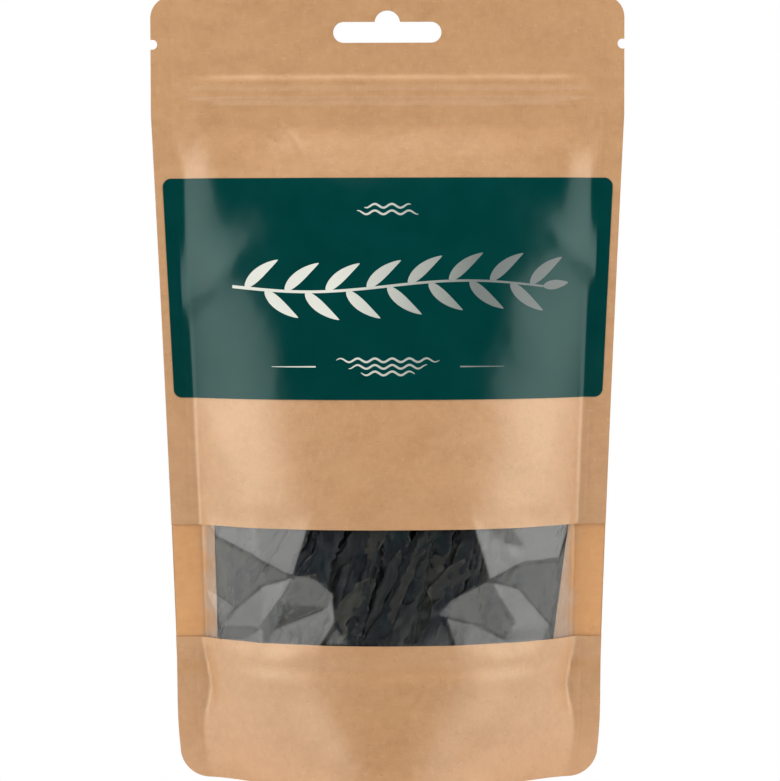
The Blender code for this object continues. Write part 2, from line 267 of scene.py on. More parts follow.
def waves(seed, count, shortest, longest):
    """Random plane waves, for soft unevenness."""
    dice = random.Random(seed)
    made = []
    for _ in range(count):
        angle, length = dice.uniform(0, math.pi), dice.uniform(shortest, longest)
        turn = 2 * math.pi / length
        made.append((turn * math.cos(angle), turn * math.sin(angle), dice.uniform(0, 6.28)))
    return made


def uneven(made, x, z):
    """The height of such waves, about 1 in size."""
    return sum(np.sin(kx * x + kz * z + phase) for kx, kz, phase in made) / math.sqrt(len(made))


def crease(x, z, place_x, place_z, length, left, right, angle, height):
    """A fold with a sharp back, long along one direction, with a width on each side of it."""
    dx, dz = x - place_x * MM, z - place_z * MM
    turn = math.radians(angle)
    u = (dx * math.cos(turn) + dz * math.sin(turn)) / (length * MM)
    v = (dz * math.cos(turn) - dx * math.sin(turn)) / MM
    v = np.where(v > 0, v / left, v / right)
    return height * MM * np.exp(-(u**2)) * np.exp(-np.sqrt(v**2 + 0.05))


def swell(x, z, place_x, place_z, size_x, size_z, height):
    """A soft rise or hollow."""
    u, v = (x / MM - place_x) / size_x, (z / MM - place_z) / size_z
    return height * MM * np.exp(-(u**2) - v**2)


# Folds of the front and the back web, as (place along x and z, length, widths on both sides, angle, height),
# and the front's soft rises and hollows, as (place along x and z, size along x and z, height), in millimetres
# and degrees
FRONT_CREASES = (
    (-28.5, 190, 7, 3.2, 1.6, 125, 0.9), (-33, 189, 4, 1.8, 1.8, 150, -0.5),
    (-56, 196, 6, 2.5, 2.5, 60, 0.5), (57, 196, 6, 2.5, 2.5, 118, 0.45),
    (-51, 148.5, 11, 8, 7, 40, 1.9), (55, 156, 9, 7, 6, -40, 1.6),
    (18, 211.5, 9, 2.6, 2.6, -27, 0.3), (31, 209, 6, 2.4, 2.4, 65, 0.22),
    (-40, 216, 10, 3, 3, 12, 0.2), (47, 98, 12, 4, 4, 75, 0.25), (-47, 96, 12, 4, 4, 108, 0.25),
)
FRONT_SWELLS = (
    (-50, 177, 7, 9, 0.4), (-52, 186, 6.5, 8, 0.9), (-44, 165, 8, 8, -0.15), (53, 184, 6, 9, 0.75),
    (41, 136, 7, 10, 0.15),
)
BACK_CREASES = (
    (-34, 186, 8, 3.0, 3.0, 40, 0.45), (30, 189, 7, 2.6, 2.6, 130, 0.45),
    (-52, 120, 12, 4.0, 4.0, 80, 0.4), (50, 92, 12, 4.5, 4.5, 100, 0.4),
    (-44, 56, 10, 4.0, 4.0, 65, 0.35), (8, 44, 9, 4.0, 4.0, 20, 0.3),
)

# Ridges along the zip, as (height above the base, rise, width), in millimetres
ZIP_RIDGES = ((206.4, 0.42, 1.9), (202.6, 0.26, 0.6), (200.4, 0.06, 0.5))

# Creased film across the clear band: corners as (x, z, lift over the smooth form) in millimetres, flat facets
# between three corners, and sharp folds along chains of corners
LEFT_CORNERS = dict(
    A=(-55.2, 80, 0), B=(-40, 80, -0.6), C=(-22, 80, 0), D=(-50.5, 72, 0.2), E=(-37.8, 66.3, 0.3),
    N=(-27.8, 61.8, 0.3), O=(-55.2, 58, 0), F=(-36.8, 58.8, -1), G=(-44.6, 52, -1.5), H=(-50, 45.5, -0.1),
    T=(-55.2, 38, 0), U=(-31.3, 55, 0), V=(-36.8, 46.6, -0.4), W=(-38, 38, 0.1), X=(-48, 38, 0),
    I=(-21.9, 61.1, -0.3), J=(-16.1, 56.3, -0.5), K=(-18.3, 53, -1.1), L=(-32.5, 46.9, -1.1),
    M=(-15.4, 48, -0.2), Y=(-22, 38, -0.2), P=(-8, 80, 0), Q=(-8, 62, 0), R=(-8, 50, 0), S=(-8, 38, 0),
    p=(-15, 80, -0.1), q=(-15, 69, -0.3),
)
LEFT_FACETS = (
    "ABD BDE BEN BNC ADO DEF ENF DFG DGO OGH OHT HXT NUF FUV FVG GVH VWX HVX NIU IJK IKU UKL ULV "
    "KJM KML LMY LYW VLW CNq Cqp pqP PqQ NIq IQq IJQ JRQ JMR MSR MYS"
)
LEFT_FOLDS = "DEN NFGH KL"
RIGHT_CORNERS = dict(
    A=(55.2, 80, 0), B=(38, 80, -0.3), C=(24, 80, 0.2), G=(30.5, 76.5, -0.4), H=(35.5, 76.5, -0.2),
    I=(40.4, 69.3, -0.1), J=(33.3, 70.9, -0.4), D=(50, 65.4, 1), E=(37.9, 64.6, 0.3), N=(29.8, 60.6, 0.5),
    O=(55.2, 57, 0), F=(37.9, 58, -1.4), K=(42, 53, -1.4), L=(48, 46, 0), T=(55.2, 38, 0), M=(32.1, 55, 0),
    U=(36.5, 47.2, -0.6), W=(44, 38, 0), X=(37, 38, -0.2), Y=(25.5, 48, -0.9), Z=(18.5, 55, 0.2),
    a=(16, 50.5, 0), b=(20, 38, 0.2), c=(34, 43, -0.9), P=(8, 80, 0), Q=(8, 62, 0), R=(8, 50, 0),
    S=(8, 38, 0), p=(15, 80, 0), q=(16, 69, 0.2),
)
RIGHT_FACETS = (
    "CGJ CJN JEN JIE IDE BDI BIH CBG BHG GHJ HIJ ABD ADO NEF EDF DKF DLK DOL OTL NFM FKM KUM KLU LWU UWX "
    "LTW NMY MUY YUc UXc Ycb cXb NYZ YaZ Yba CNq Cqp pqP PqQ NZq ZQq ZQR ZRa aRS aSb"
)
RIGHT_FOLDS = "NED NFKL aYc MU"
FOLD_DEPTH = 0.05 * MM
FOLD_WIDTH = 0.55 * MM
# Where the facets lie, a hair inside their outer corners
FACETS_X = (8 * MM + HAIR, 55.2 * MM - HAIR)
FACETS_Z = (38 * MM + HAIR, 80 * MM - HAIR)


def facet_planes():
    """For each facet, the weights of its three corners and its depth, as planes over x, z and 1."""
    planes = []
    for places, facets in ((LEFT_CORNERS, LEFT_FACETS), (RIGHT_CORNERS, RIGHT_FACETS)):
        for names in facets.split():
            corners = [(places[n][0] * MM, places[n][1] * MM) for n in names]
            weights = np.linalg.inv(np.array([(x, z, 1.0) for x, z in corners]))
            depths = [float(wall_depth(x, z)) + places[n][2] * MM for n, (x, z) in zip(names, corners)]
            planes.append(np.column_stack([weights, weights @ np.array(depths)]))
    return np.array(planes)


FACET_PLANES = facet_planes()


def facet_depth(x, z):
    """Depth of the flat facets along a row of places at one height."""
    place = np.stack([x, np.full_like(x, z), np.ones_like(x)])
    values = np.einsum("kn,fkj->fnj", place, FACET_PLANES)
    here = values[..., :3].min(axis=2).argmax(axis=0)
    return values[here, np.arange(len(x)), 3]


def fold_lines(x, z):
    """Grooves along the folds between facets."""
    height = np.zeros_like(x)
    for places, folds in ((LEFT_CORNERS, LEFT_FOLDS), (RIGHT_CORNERS, RIGHT_FOLDS)):
        for chain in folds.split():
            away = np.full_like(x, 1.0)
            for first, second in zip(chain, chain[1:]):
                (ax, az, _), (bx, bz, _) = places[first], places[second]
                ax, az, bx, bz = ax * MM, az * MM, bx * MM, bz * MM
                t = ((x - ax) * (bx - ax) + (z - az) * (bz - az)) / ((bx - ax) ** 2 + (bz - az) ** 2)
                t = np.clip(t, 0, 1)
                away = np.minimum(away, np.hypot(x - ax - t * (bx - ax), z - az - t * (bz - az)))
            height -= FOLD_DEPTH * hump(away, FOLD_WIDTH)
    return height


UNEVEN = waves(11, 14, 16 * MM, 45 * MM)
UNEVEN_FINE = waves(12, 18, 5 * MM, 12 * MM)
UNEVEN_HEADER = waves(23, 12, 7 * MM, 20 * MM)


def relief(x, s, z, side):
    """Outward relief of a web at a grid of places."""
    inside = HALF_INSIDE - np.abs(s)
    filled = ease(SIDE_SEAL * 0.2, 14 * MM, inside) * (1 - ease(188 * MM, 199 * MM, z))
    height = SOFT_WAVE * uneven(UNEVEN, x * side, z) * (0.15 + 0.85 * filled)
    height += FINE_WAVE * uneven(UNEVEN_FINE, x * side, z) * (0.3 + 0.7 * filled)
    near_seal = ease(0, 3 * MM, inside)
    for place in FRONT_CREASES if side == FRONT else BACK_CREASES:
        height += crease(x, z, *place) * near_seal
    for place in FRONT_SWELLS if side == FRONT else ():
        height += swell(x, z, *place) * near_seal
    height -= SEAL_GROOVE * hump(inside, SEAL_GROOVE_WIDTH)
    ends = 1 - ease(54 * MM, HALF_INSIDE, np.abs(s))
    for ridge, rise, width in ZIP_RIDGES:
        height += rise * MM * hump(z - ridge * MM, width * MM) * ends
    height += HEADER_WAVE * uneven(UNEVEN_HEADER, x * side * 0.6, z) * ease(186 * MM, 196 * MM, z)
    start = SHOULDER_LINE + SHOULDER_LINE_SWAY * uneven(UNEVEN_HEADER, x * side, x * 0)
    middle = 1 - ease(HALF_INSIDE - 4 * MM, HALF_INSIDE, np.abs(s))
    height += SHOULDER_LINE_RISE * hump(z - start, SHOULDER_LINE_WIDTH) * middle
    if side == FRONT:
        for i, row in enumerate(height):
            flat, share = window_relief(x[i], float(z[i, 0]))
            row *= 1 - 0.75 * share
            row += flat
    return height


def window_relief(x, z):
    """Relief of the creased film round the clear band along a row, and how far it takes over there."""
    share = float(ease(37 * MM, 42.5 * MM, z) * (1 - ease(74.5 * MM, 83 * MM, z)))
    if share == 0:
        return np.zeros_like(x), share
    x_near = np.where(x < 0, -1, 1) * np.clip(np.abs(x), *FACETS_X)
    z_near = float(np.clip(z, *FACETS_Z))
    lift = facet_depth(x_near, z_near) - wall_depth(x_near, z_near)
    return (lift + fold_lines(x, np.full_like(x, z))) * share, share


def inner_wall(x, z):
    """Depth of the front web's inner face, where its creases press inwards too."""
    return wall_depth(x, z) + np.minimum(window_relief(x, z)[0], 0)


class Web:
    """Fine grid of a web's inner face, with its outward normals."""

    def __init__(self, side, widths, heights):
        self.s, self.z = widths, heights
        x = np.array([across(widths, z) for z in heights])
        s = np.broadcast_to(widths, x.shape)
        z = np.broadcast_to(heights[:, None], x.shape)
        smooth = np.array([wall_depth(row, h) for row, h in zip(x, heights)])
        depth = smooth + relief(x, s, z, side)
        self.points = np.stack([x, side * depth, z], axis=2)
        along_s = np.gradient(self.points, widths, axis=1)
        along_z = np.gradient(self.points, heights, axis=0)
        normal = np.cross(along_s, along_z) * -side
        self.normals = normal / np.linalg.norm(normal, axis=2, keepdims=True)

    def ply(self, offsets, low=-1.0, high=1.0):
        """The two faces of a ply between two heights."""
        rows = (self.z > low - MM / 100) & (self.z < high + MM / 100)
        return [self.points[rows] + self.normals[rows] * offset for offset in offsets]


def steps(*stops):
    """Places up to the last stop. Each pair is a stop and the spacing before it, in millimetres."""
    places = [stops[0]]
    for end, spacing in stops[1:]:
        count = max(1, round((end - places[-1]) / spacing))
        places += list(np.linspace(places[-1], end, count + 1)[1:])
    return np.array(places) * MM


def mirrored(places):
    """Such places, from 0 on, to both sides."""
    return np.concatenate([-places[:0:-1], places])


# Meshes


def add_object(name, data):
    obj = bpy.data.objects.new(name, data)
    bpy.context.scene.collection.objects.link(obj)
    return obj


def add_mesh(name, verts, faces, material=None):
    mesh = bpy.data.meshes.new(name)
    mesh.from_pydata([tuple(v) for v in verts], [], [tuple(f) for f in faces])
    mesh.update()
    if material:
        mesh.materials.append(material)
    return add_object(name, mesh)


def sheet_faces(rows, cols, start):
    """Quads of a closed thin sheet: one grid of points, then the other, and the strip round their edges."""
    index = np.arange(rows * cols).reshape(rows, cols) + start
    faces = []
    for grid, turn in ((index, 1), (index + rows * cols, -1)):
        corners = [grid[:-1, :-1], grid[:-1, 1:], grid[1:, 1:], grid[1:, :-1]]
        faces += np.stack(corners[::turn], axis=2).reshape(-1, 4).tolist()
    rim = np.concatenate([index[0], index[1:, -1], index[-1, -2::-1], index[-2:0:-1, 0]])
    after = np.roll(rim, -1)
    return faces + np.stack([rim, rim + rows * cols, after + rows * cols, after], axis=1).tolist()


def mark(obj, name, values):
    """Gives each point of obj a number that its material reads."""
    layer = obj.data.attributes.new(name, "FLOAT", "POINT")
    layer.data.foreach_set("value", np.asarray(values, np.float32))


class Sheets:
    """Collects closed thin sheets as one piece, with the numbers that its material reads."""

    def __init__(self):
        self.verts, self.faces, self.marks = [], [], {}

    def add(self, first, second, **marks):
        """A sheet between two grids of points. A mark is one number, or one for each point of a grid."""
        rows, cols = first.shape[:2]
        self.faces += sheet_faces(rows, cols, len(self.verts))
        self.verts += [*first.reshape(-1, 3), *second.reshape(-1, 3)]
        for name, values in marks.items():
            both = np.tile(np.broadcast_to(values, (rows, cols)).reshape(-1), 2)
            self.marks.setdefault(name, []).append(both)

    def build(self, name, material):
        obj = add_mesh(name, self.verts, self.faces, material)
        for label, values in self.marks.items():
            mark(obj, label, np.concatenate(values))
        outward_faces(obj)
        return obj


def shell(name, first, second, material):
    """A closed sheet between two grids of points."""
    sheets = Sheets()
    sheets.add(first, second)
    return sheets.build(name, material)


def outward_faces(obj):
    """Turns the faces of a closed piece outwards."""
    bm = bmesh.new()
    bm.from_mesh(obj.data)
    bmesh.ops.recalc_face_normals(bm, faces=bm.faces)
    bm.to_mesh(obj.data)
    bm.free()


def prism(outline, low, high):
    """Two rings of points, which extrude an outline in X and Z along Y."""
    return [[(x, y, z) for x, z in outline] for y in (low, high)]


def add_tubes(name, tubes, material=None):
    """Closed tubes, each through its rings of points, as one piece."""
    verts, faces = [], []
    for rings in tubes:
        start, count = len(verts), len(rings[0])
        verts += [point for ring in rings for point in ring]
        last = len(verts) - count
        faces += [range(start, start + count), range(len(verts) - 1, last - 1, -1)]
        for low in range(start, last, count):
            for k in range(count):
                m = (k + 1) % count
                faces.append((low + k, low + count + k, low + count + m, low + m))
    obj = add_mesh(name, verts, faces, material)
    outward_faces(obj)
    return obj


def arc(cx, cz, radius, start, end, count):
    """Points of an arc between two angles in degrees."""
    angles = np.radians(np.linspace(start, end, count + 1))
    return [(cx + radius * math.cos(a), cz + radius * math.sin(a)) for a in angles]


def slot_outline():
    end = SLOT_WIDTH / 2 - SLOT_RADIUS
    above = SLOT_HEIGHT_ABOVE + SLOT_BUMP_RISE
    top = SLOT_HEIGHT_ABOVE + SLOT_RADIUS
    lift = math.degrees(math.asin((top - above) / SLOT_BUMP))
    right = arc(end, SLOT_HEIGHT_ABOVE, SLOT_RADIUS, -90, 90, 20)
    bump = arc(0, above, SLOT_BUMP, lift, 180 - lift, 20)
    left = arc(-end, SLOT_HEIGHT_ABOVE, SLOT_RADIUS, 90, 270, 20)
    return right + bump + left


def corner_outline(x_edge, z_edge, radius, sign_x, sign_z):
    """What is cut off a sheet's corner to round it."""
    past = 4 * MM
    cx, cz = x_edge - radius, z_edge - sign_z * radius
    curve = arc(cx, cz, radius, 0, 90 * sign_z, 16)
    points = curve + [(cx, z_edge + sign_z * past), (x_edge + past, z_edge + sign_z * past)]
    points += [(x_edge + past, cz)]
    return [(sign_x * x, z) for x, z in points]


def make_punch():
    """The die for the hang slot, the tear notches and the four round corners."""
    notch_x = WIDTH / 2 + NOTCH_RADIUS - NOTCH_DEPTH
    foot_x = across(np.array([WIDTH / 2]), BOTTOM_CORNER)[0]
    header, foot = (-6 * MM, 6 * MM), (-45 * MM, 45 * MM)
    prisms = [prism(slot_outline(), *header)]
    for sign in (-1, 1):
        prisms.append(prism(arc(sign * notch_x, NOTCH_ABOVE, NOTCH_RADIUS, 0, 345, 23), *header))
        prisms.append(prism(corner_outline(WIDTH / 2, HEIGHT, TOP_CORNER, sign, 1), *header))
        prisms.append(prism(corner_outline(foot_x, 0, BOTTOM_CORNER, sign, -1), *foot))
    return add_tubes("punch", prisms)


def cut(obj, tool, operation="DIFFERENCE"):
    """Cuts obj with tool, and keeps the cut mesh."""
    modifier = obj.modifiers.new("cut", "BOOLEAN")
    modifier.operation = operation
    modifier.object = tool
    modifier.solver = "EXACT"
    bpy.context.view_layer.update()
    shaped = obj.evaluated_get(bpy.context.evaluated_depsgraph_get())
    mesh = bpy.data.meshes.new_from_object(shaped)
    obj.modifiers.clear()
    old, obj.data = obj.data, mesh
    bpy.data.meshes.remove(old)


def settle(obj, nodes, slot, angle=50):
    """Smooths obj up to that angle, and makes it stand for these solids. The slot is not used."""
    obj.data.shade_smooth()
    obj.data.set_sharp_from_angle(angle=math.radians(angle))
    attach(obj, "root")
    if nodes:
        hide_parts(*nodes)


# Materials


def add_node(tree, kind, inputs=None, **settings):
    node = tree.nodes.new("ShaderNode" + kind)
    for key, value in settings.items():
        setattr(node, key, value)
    for key, value in (inputs or {}).items():
        if isinstance(value, bpy.types.NodeSocket):
            tree.links.new(value, node.inputs[key])
        else:
            node.inputs[key].default_value = value
    return node


def new_material(name, **constants):
    """A material with one principled shader. Names with a low line stand for names with a space."""
    material = bpy.data.materials.new(name)
    material.use_nodes = True
    shader = material.node_tree.nodes["Principled BSDF"]
    for key, value in constants.items():
        shader.inputs[key.replace("_", " ")].default_value = value
    return material, material.node_tree, shader


def object_place(tree, scale=(1, 1, 1), turn=(0, 0, 0)):
    """Object coordinates in millimetres, stretched and turned."""
    place = add_node(tree, "TexCoord").outputs["Object"]
    size = tuple(1000 * k for k in scale)
    inputs = {"Vector": place, "Scale": size, "Rotation": turn}
    return add_node(tree, "Mapping", inputs).outputs["Vector"]


def noise(tree, place, scale, detail=2.0, roughness=0.5, distortion=0.0):
    inputs = {"Vector": place, "Scale": scale, "Detail": detail, "Roughness": roughness}
    inputs["Distortion"] = distortion
    return add_node(tree, "TexNoise", inputs).outputs["Fac"]


def remap(tree, value, from_low, from_high, to_low, to_high):
    inputs = {"Value": value, "From Min": from_low, "From Max": from_high}
    inputs |= {"To Min": to_low, "To Max": to_high}
    return add_node(tree, "MapRange", inputs).outputs["Result"]


def attribute(tree, name):
    """A number that each point of the mesh carries."""
    return add_node(tree, "Attribute", attribute_name=name, attribute_type="GEOMETRY").outputs["Fac"]


def mix(tree, factor, first, second):
    inputs = {0: factor, 6: first, 7: second}
    return add_node(tree, "Mix", inputs, data_type="RGBA").outputs[2]


def layered(tree, colour, *layers):
    """Other colours over a colour, from none at a value's low mark to most at its high mark."""
    for value, low, high, most, shade in layers:
        colour = mix(tree, remap(tree, value, low, high, 0, most), colour, (*shade, 1))
    return colour


def math_node(tree, operation, first, second):
    return add_node(tree, "Math", {0: first, 1: second}, operation=operation).outputs[0]


def times(tree, first, second):
    return math_node(tree, "MULTIPLY", first, second)


def feed(tree, shader, **values):
    """Links values to the shader. Names with a low line stand for names with a space."""
    for key, value in values.items():
        tree.links.new(value, shader.inputs[key.replace("_", " ")])


def bump(tree, shader, height, strength, distance):
    inputs = {"Height": height, "Strength": strength, "Distance": distance}
    feed(tree, shader, Normal=add_node(tree, "Bump", inputs).outputs["Normal"])


def kraft_material(name, painted_light_gain=1.0, shaded=None):
    """Brown kraft paper: soft clouds, fibres both ways, a few dark specks. It can be made lighter all over as
    painted light, and takes painted shade where it is marked so.
    """

    # Lightens every colour of a copy of the kraft, as painted light
    def tone(*colour):
        return [part * painted_light_gain for part in colour]

    sheen = (1.0, 0.88, 0.72, 1)
    material, tree, shader = new_material(name, IOR=1.65, Specular_IOR_Level=1.0, Specular_Tint=sheen)
    place = object_place(tree)
    clouds = noise(tree, place, 0.06, 3.0)
    mottle = noise(tree, place, 0.45, 3.0, 0.6)
    streaks = noise(tree, object_place(tree, (0.45, 1, 1)), 0.2, 3.0, 0.55)
    fibres_up = noise(tree, object_place(tree, (1, 1, 0.18), (0, 0.5, 0)), 2.2, 2.0)
    fibres_flat = noise(tree, object_place(tree, (0.2, 1, 1), (0, -0.4, 0)), 2.0, 2.0)
    fibres = times(tree, fibres_up, fibres_flat)
    specks = noise(tree, place, 1.3, 1.0)
    colour = layered(
        tree, (*tone(0.468, 0.248, 0.112), 1),
        (clouds, 0.3, 0.7, 1, tone(0.525, 0.285, 0.133)),
        (streaks, 0.42, 0.68, 0.55, tone(0.432, 0.225, 0.100)),
        (mottle, 0.3, 0.7, 0.45, tone(0.58, 0.322, 0.158)),
        (fibres, 0.30, 0.42, 0.35, tone(0.62, 0.37, 0.20)),
        (specks, 0.70, 0.76, 0.45, tone(0.30, 0.15, 0.07)),
    )
    # Painted shade: darker brown where the mark is high
    if shaded:
        shade = times(tree, attribute(tree, shaded), remap(tree, fibres_up, 0.3, 0.7, 0.6, 0.95))
        colour = mix(tree, shade, colour, (0.25, 0.12, 0.05, 1))
    feed(tree, shader, Base_Color=colour, Roughness=remap(tree, mottle, 0.2, 0.8, 0.30, 0.40))
    height = math_node(tree, "ADD", times(tree, mottle, 1.6), fibres)
    bump(tree, shader, height, 0.35, 0.00006)
    return material


def film_material():
    """Clear film: it reflects a little, more at a slant, less where it is sealed down. Along its sharp folds
    it reflects less and is greyed, in patches, as painted shade.
    """
    silver = (0.93, 0.93, 0.91, 1)
    material, tree, shader = new_material("clear_film", Base_Color=silver, Metallic=1.0, Roughness=0.1)
    place = object_place(tree)
    sealed = attribute(tree, "sealed")
    # Painted shade along the folds: in patches, it cuts the film's reflection and greys what shows through it
    fold_shade_patches = remap(tree, noise(tree, place, 0.25, 2.0), 0.35, 0.6, 0.15, 0.9)
    fold_shade = times(tree, attribute(tree, "fold_shade"), fold_shade_patches)
    facing = add_node(tree, "LayerWeight", {"Blend": 0.5}).outputs["Facing"]
    slant = math_node(tree, "POWER", facing, 4.0)
    share = add_node(tree, "Math", {0: slant, 1: 0.8, 2: FILM_SHARE}, operation="MULTIPLY_ADD").outputs[0]
    share = times(tree, share, remap(tree, sealed, 0, 1, 1, 0.15))
    share = times(tree, share, remap(tree, fold_shade, 0, 1, 1, 0.5))
    feed(tree, shader, Roughness=remap(tree, noise(tree, place, 0.3, 3.0), 0.3, 0.7, 0.08, 0.14))
    tint = mix(tree, sealed, (0.97, 0.97, 0.96, 1), (1.0, 0.97, 0.92, 1))
    tint = mix(tree, times(tree, fold_shade, 0.25), tint, (0.5, 0.5, 0.48, 1))
    clear = add_node(tree, "BsdfTransparent", {"Color": tint})
    both = add_node(tree, "MixShader", {0: share, 1: clear.outputs[0], 2: shader.outputs[0]})
    feed(tree, tree.nodes["Material Output"], Surface=both.outputs[0])
    return material


def label_material():
    """Glossy teal sticker, faintly uneven."""
    sheen = (0.80, 1.0, 0.93, 1)
    material, tree, shader = new_material("teal_label", Specular_IOR_Level=0.4, Specular_Tint=sheen)
    place = object_place(tree)
    clouds = noise(tree, place, 0.12, 3.0)
    colour = layered(tree, (0.0003, 0.037, 0.034, 1), (clouds, 0.3, 0.7, 1, (0.0005, 0.042, 0.0385)))
    feed(tree, shader, Base_Color=colour, Roughness=remap(tree, clouds, 0.2, 0.8, 0.12, 0.17))
    bump(tree, shader, noise(tree, place, 4.0, 2.0), 0.12, 0.00002)
    return material


def print_material():
    """Ink of the label's pattern: silver white on the left, grey on the right."""
    material, tree, shader = new_material("silver_ink", Roughness=0.35)
    place = add_node(tree, "TexCoord").outputs["Object"]
    x = add_node(tree, "SeparateXYZ", {0: place}).outputs["X"]
    grain = noise(tree, object_place(tree), 1.5, 3.0)
    shift = math_node(tree, "ADD", x, remap(tree, grain, 0, 1, -0.002, 0.002))
    side = remap(tree, shift, -0.016, 0.026, 0, 1)
    feed(tree, shader, Base_Color=mix(tree, side, (0.66, 0.67, 0.60, 1), (0.155, 0.175, 0.165, 1)))
    bump(tree, shader, grain, 0.1, 0.00002)
    return material


def zip_material():
    """Milky plastic of the zip."""
    material, tree, shader = new_material("milky_plastic", Roughness=0.3)
    streaks = noise(tree, object_place(tree, (0.2, 1, 1)), 1.2, 2.0)
    feed(tree, shader, Base_Color=mix(tree, streaks, (0.70, 0.70, 0.67, 1), (0.80, 0.80, 0.78, 1)))
    bump(tree, shader, streaks, 0.1, 0.00003)
    return material


def kelp_material():
    """Dried blade: blue-black, pale where salted, with lengthwise wrinkles, and a brown-grey painted
    highlight in patches along its edges and midrib.
    """
    material, tree, shader = new_material("dried_kelp", Specular_IOR_Level=0.22)
    place = object_place(tree)
    long_grain = noise(tree, object_place(tree, (1, 1, 0.16), (0, -0.35, 0)), 0.55, 4.0, 0.6)
    patches = noise(tree, place, 0.12, 4.0, 0.6, 0.6)
    teal = noise(tree, place, 0.09, 2.0)
    flecks = noise(tree, place, 0.7, 3.0, 0.6)
    salt = noise(tree, place, 1.25, 2.0)
    # Painted highlight: brown-grey in patches where the mark is high, along the blade's edges and midrib
    edge_highlight = times(tree, attribute(tree, "thin"), remap(tree, flecks, 0.45, 0.62, 0, 1))
    base = layered(
        tree, (0.003, 0.0062, 0.0120, 1),
        (patches, 0.35, 0.65, 1, (0.010, 0.015, 0.0225)),
        (teal, 0.58, 0.66, 0.6, (0.004, 0.020, 0.022)),
        (long_grain, 0.40, 0.72, 0.6, (0.020, 0.0235, 0.027)),
    )
    base = mix(tree, attribute(tree, "warm"), base, (0.046, 0.046, 0.041, 1))
    base = mix(tree, edge_highlight, base, (0.120, 0.118, 0.102, 1))
    base = layered(tree, base, (salt, 0.76, 0.81, 0.4, (0.45, 0.48, 0.47)))
    feed(tree, shader, Base_Color=base, Roughness=remap(tree, patches, 0.3, 0.7, 0.34, 0.52))
    bump(tree, shader, math_node(tree, "ADD", long_grain, times(tree, flecks, 0.4)), 0.8, 0.0004)
    return material


def stage_material(name, shade, glow=0.0):
    """Dull grey of the stage, which may glow a little."""
    colours = {"Base_Color": (shade, shade, shade, 1), "Emission_Color": (1, 1, 1, 1)}
    return new_material(name, **colours, Roughness=0.9, Specular_IOR_Level=0.0, Emission_Strength=glow)[0]


# Pouch


def mark_film(sheet):
    """Where the film takes painted shade along its sharp folds, and where it is sealed down on the back web,
    with a wavy limit.
    """
    places = np.array([v.co for v in sheet.data.vertices])
    x, z = places[:, 0], places[:, 2]
    edge = np.interp(z, (WINDOW_LOW, WINDOW_HIGH), [bulge_edge(WINDOW_LOW), bulge_edge(WINDOW_HIGH)])
    past = np.abs(x) - edge + 1.2 * MM * uneven(UNEVEN_HEADER, x, z)
    # Painted shade along the grooves of the folds
    mark(sheet, "fold_shade", -fold_lines(x, z) / FOLD_DEPTH)
    mark(sheet, "sealed", ease(-4.5 * MM, 1.5 * MM, past))


def make_webs(punch, kraft, film):
    widths = mirrored(steps(0, (54, 0.75), (62.4, 1.2), (65.6, 0.4), (70, 1.1)))
    band = ((36, 1.6), (42, 1.0), (WINDOW_HIGH / MM, 0.7), (90, 1.2))
    shoulder = ((186, 1.75), (195, 0.6), (198.6, 0.3), (210, 0.45), (232, 2.2))
    front = Web(FRONT, widths, steps(0, (4, 1.0), *band, *shoulder))
    plies = (
        ("film_sheet", "front_film", FILM_PLY, 0, HEIGHT, film, "film"),
        ("kraft_upper_sheet", "front_kraft_upper", KRAFT_PLY, WINDOW_HIGH, HEIGHT, kraft, "kraft"),
        ("kraft_lower_sheet", "front_kraft_lower", KRAFT_PLY, 0, WINDOW_LOW, kraft, "kraft"),
    )
    for name, node, offsets, low, high, material, slot in plies:
        sheet = shell(name, *front.ply(offsets, low, high), material)
        cut(sheet, punch)
        if slot == "film":
            mark_film(sheet)
        settle(sheet, [node], slot)
    coarse = mirrored(steps(0, (60, 2.0), (62.4, 1.2), (65.6, 0.8), (70, 2.2)))
    back = Web(BACK, coarse, steps(0, (186, 2.0), (195, 0.9), (198.6, 0.45), (210, 0.6), (232, 2.2)))
    sheet = shell("back_sheet", *back.ply(BACK_PLY), kraft)
    cut(sheet, punch)
    settle(sheet, ["back_web"], "kraft")
    return front


def make_linings(kraft):
    """Kraft lining beside the seals, just behind the clear band, with a straight inner edge. Its mark gives
    painted shade to its inner part, which lies further back.
    """
    shares = np.linspace(0, 1, 25)
    edge = bulge_edge((WINDOW_LOW + WINDOW_HIGH) / 2)
    for name, side, start, slope in LININGS:
        rows = []
        for z in steps(36, (82, 1.5)):
            inner = start + slope * z
            s = side * (inner + (LINING_OUTER - inner) * shares)
            x = across(s, z)
            inwards = np.clip((HALF_INSIDE - np.abs(s)) / (HALF_INSIDE - inner), 0, 1)
            gap = np.minimum(LINING_GAP * inwards, 1.2 * (wall_depth(x, z) - PLY_GAP))
            rows.append(row_points(x, gap - inner_wall(x, z), z))
        outside = np.array(rows)[:, ::side]
        sheet = shell(name, outside, outside + np.array([0, LINING_PLY, 0]), kraft)
        # Painted shade on the inner part of the lining, further back behind the clear band
        mark(sheet, "painted_shade_set_back", [ease(-0.5 * MM, 1.5 * MM, edge - abs(v.co.x)) for v in sheet.data.vertices])
        settle(sheet, [], "kraft")


